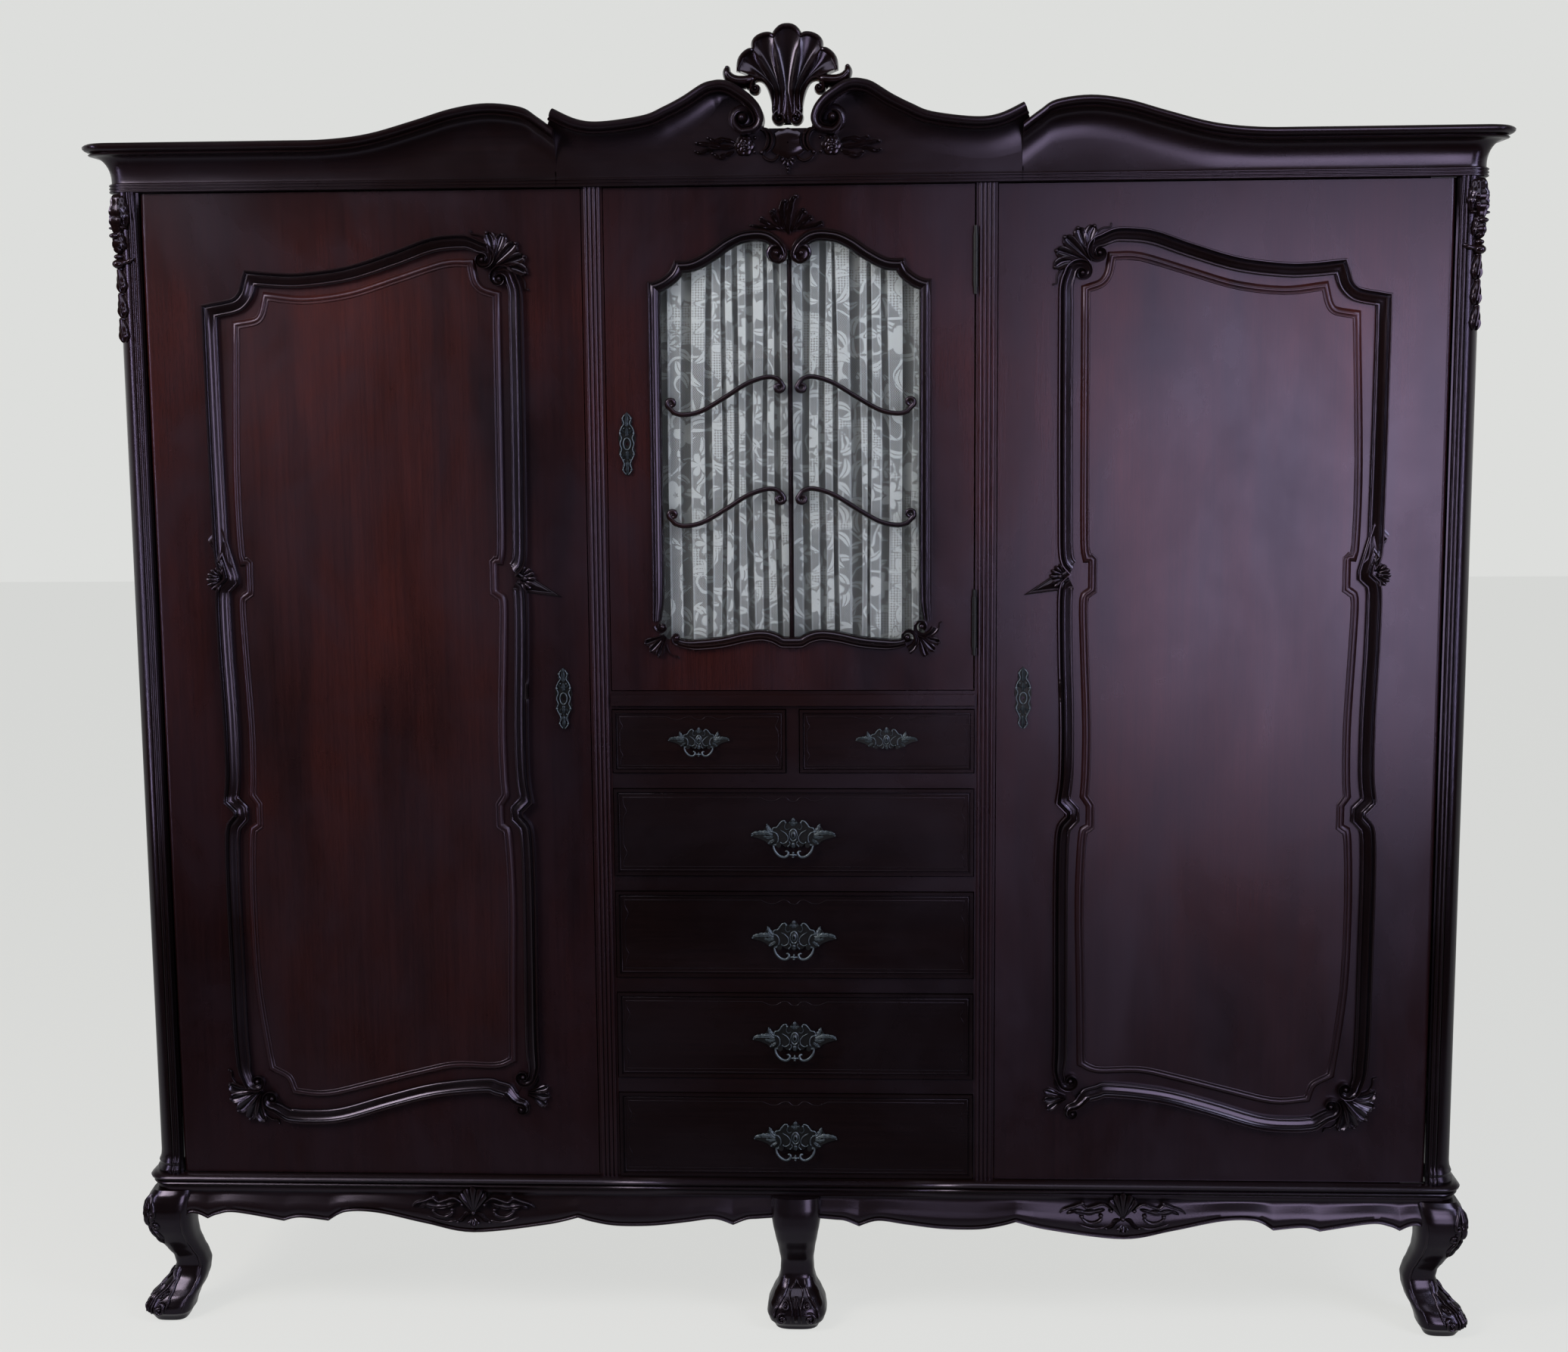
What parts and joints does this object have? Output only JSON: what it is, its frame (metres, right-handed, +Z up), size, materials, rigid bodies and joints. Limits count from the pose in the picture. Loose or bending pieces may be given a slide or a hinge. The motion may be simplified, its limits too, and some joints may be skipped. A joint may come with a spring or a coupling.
{
  "type": "cupboard",
  "caption": "Three bay carved wardrobe cupboard: panelled side doors, a glazed middle door with lace above drawers, a wavy cornice with a shell crest, and cabriole legs",
  "frame": {"origin": "middle of the floor area under the cupboard", "axes": "+X to the right seen from the front, front faces -Y, +Z up"},
  "size_m": [2.284, 0.602, 2.162],
  "materials": {
    "dark_wood": "very dark reddish brown wood, polished, with bluish sheen",
    "inner_wood": "plain planed wood",
    "bronze": "darkened cast bronze",
    "steel": "plain steel",
    "glass": "clear flat glass",
    "lace": "off white lace net"
  },
  "bodies": {
    "carcass": {"leg_front_left": "dark_wood", "leg_front_centre": "dark_wood", "leg_front_right": "dark_wood", "legs_back": "dark_wood", "aprons_front": "dark_wood", "apron_carvings": "dark_wood", "stand_rails": "dark_wood", "base_moulding": "dark_wood", "bottom_board": "inner_wood", "top_board": "inner_wood", "carcass_sides": "dark_wood", "partitions": "inner_wood", "back_boards": "inner_wood", "corner_posts": "dark_wood", "pilasters": "dark_wood", "drawer_rails": "dark_wood", "drawer_runners": "inner_wood", "shelves": "inner_wood", "hanging_rods": "steel", "cornice_front": "dark_wood", "cornice_returns": "dark_wood", "crest_shell": "dark_wood", "crest_cartouche": "dark_wood", "hinge_fittings": "bronze"},
    "left_door": {"left_door_frame": "dark_wood", "left_door_panel": "dark_wood", "left_door_moulding": "dark_wood", "left_door_lock": "bronze"},
    "left_door_bolt": {"left_door_bolt": "steel"},
    "right_door": {"right_door_frame": "dark_wood", "right_door_panel": "dark_wood", "right_door_moulding": "dark_wood", "right_door_lock": "bronze"},
    "right_door_bolt": {"right_door_bolt": "steel"},
    "glazed_door": {"glazed_door_frame": "dark_wood", "glazed_door_moulding": "dark_wood", "glazed_door_bars": "dark_wood", "glazed_door_glass": "glass", "glazed_door_curtain": "lace", "glazed_door_curtain_rods": "steel", "glazed_door_lock": "bronze", "glazed_door_hinge_leaves": "bronze"},
    "glazed_door_bolt": {"glazed_door_bolt": "steel"},
    "drawer_1": {"drawer_1": "dark_wood", "drawer_1_backplate": "bronze"},
    "drawer_1_bail": {"drawer_1_bail": "bronze"},
    "drawer_2": {"drawer_2": "dark_wood", "drawer_2_backplate": "bronze"},
    "drawer_2_bail": {"drawer_2_bail": "bronze"},
    "drawer_3": {"drawer_3": "dark_wood", "drawer_3_backplate": "bronze"},
    "drawer_3_bail": {"drawer_3_bail": "bronze"},
    "drawer_4": {"drawer_4": "dark_wood", "drawer_4_backplate": "bronze"},
    "drawer_4_bail": {"drawer_4_bail": "bronze"},
    "drawer_small_left": {"drawer_small_left": "dark_wood", "drawer_small_left_backplate": "bronze"},
    "drawer_small_left_bail": {"drawer_small_left_bail": "bronze"},
    "drawer_small_right": {"drawer_small_right": "dark_wood", "drawer_small_right_backplate": "bronze"}
  },
  "joints": [
    {"name": "left_door_hinge", "type": "hinge", "parent": "carcass", "child": "left_door", "pos_m": [-1.0465, -0.251, 0.262], "axis": [0, 0, -1], "range_deg": [0, 93]},
    {"name": "right_door_hinge", "type": "hinge", "parent": "carcass", "child": "right_door", "pos_m": [1.0465, -0.251, 0.262], "axis": [0, 0, 1], "range_deg": [0, 93]},
    {"name": "glazed_door_hinge", "type": "hinge", "parent": "carcass", "child": "glazed_door", "pos_m": [0.2987, -0.264, 1.098], "axis": [0, 0, 1], "range_deg": [0, 95]},
    {"name": "left_door_bolt_slide", "type": "slide", "parent": "left_door", "child": "left_door_bolt", "axis": [1, 0, 0], "range_m": [0, 0.006]},
    {"name": "right_door_bolt_slide", "type": "slide", "parent": "right_door", "child": "right_door_bolt", "axis": [-1, 0, 0], "range_m": [0, 0.006]},
    {"name": "glazed_door_bolt_slide", "type": "slide", "parent": "glazed_door", "child": "glazed_door_bolt", "axis": [-1, 0, 0], "range_m": [0, 0.006]},
    {"name": "drawer_1_slide", "type": "slide", "parent": "carcass", "child": "drawer_1", "axis": [0, -1, 0], "range_m": [0, 0.36]},
    {"name": "drawer_1_bail_swing", "type": "hinge", "parent": "drawer_1", "child": "drawer_1_bail", "pos_m": [0, -0.2697, 0.84125], "axis": [-1, 0, 0], "range_deg": [0, 90]},
    {"name": "drawer_2_slide", "type": "slide", "parent": "carcass", "child": "drawer_2", "axis": [0, -1, 0], "range_m": [0, 0.36]},
    {"name": "drawer_2_bail_swing", "type": "hinge", "parent": "drawer_2", "child": "drawer_2_bail", "pos_m": [0, -0.2697, 0.66675], "axis": [-1, 0, 0], "range_deg": [0, 90]},
    {"name": "drawer_3_slide", "type": "slide", "parent": "carcass", "child": "drawer_3", "axis": [0, -1, 0], "range_m": [0, 0.36]},
    {"name": "drawer_3_bail_swing", "type": "hinge", "parent": "drawer_3", "child": "drawer_3_bail", "pos_m": [0, -0.2697, 0.49225], "axis": [-1, 0, 0], "range_deg": [0, 90]},
    {"name": "drawer_4_slide", "type": "slide", "parent": "carcass", "child": "drawer_4", "axis": [0, -1, 0], "range_m": [0, 0.36]},
    {"name": "drawer_4_bail_swing", "type": "hinge", "parent": "drawer_4", "child": "drawer_4_bail", "pos_m": [0, -0.2697, 0.31775], "axis": [-1, 0, 0], "range_deg": [0, 90]},
    {"name": "drawer_small_left_slide", "type": "slide", "parent": "carcass", "child": "drawer_small_left", "axis": [0, -1, 0], "range_m": [0, 0.36]},
    {"name": "drawer_small_left_bail_swing", "type": "hinge", "parent": "drawer_small_left", "child": "drawer_small_left_bail", "pos_m": [-0.15525, -0.2697, 1.0058], "axis": [-1, 0, 0], "range_deg": [0, 90]},
    {"name": "drawer_small_right_slide", "type": "slide", "parent": "carcass", "child": "drawer_small_right", "axis": [0, -1, 0], "range_m": [0, 0.36]}
  ]
}
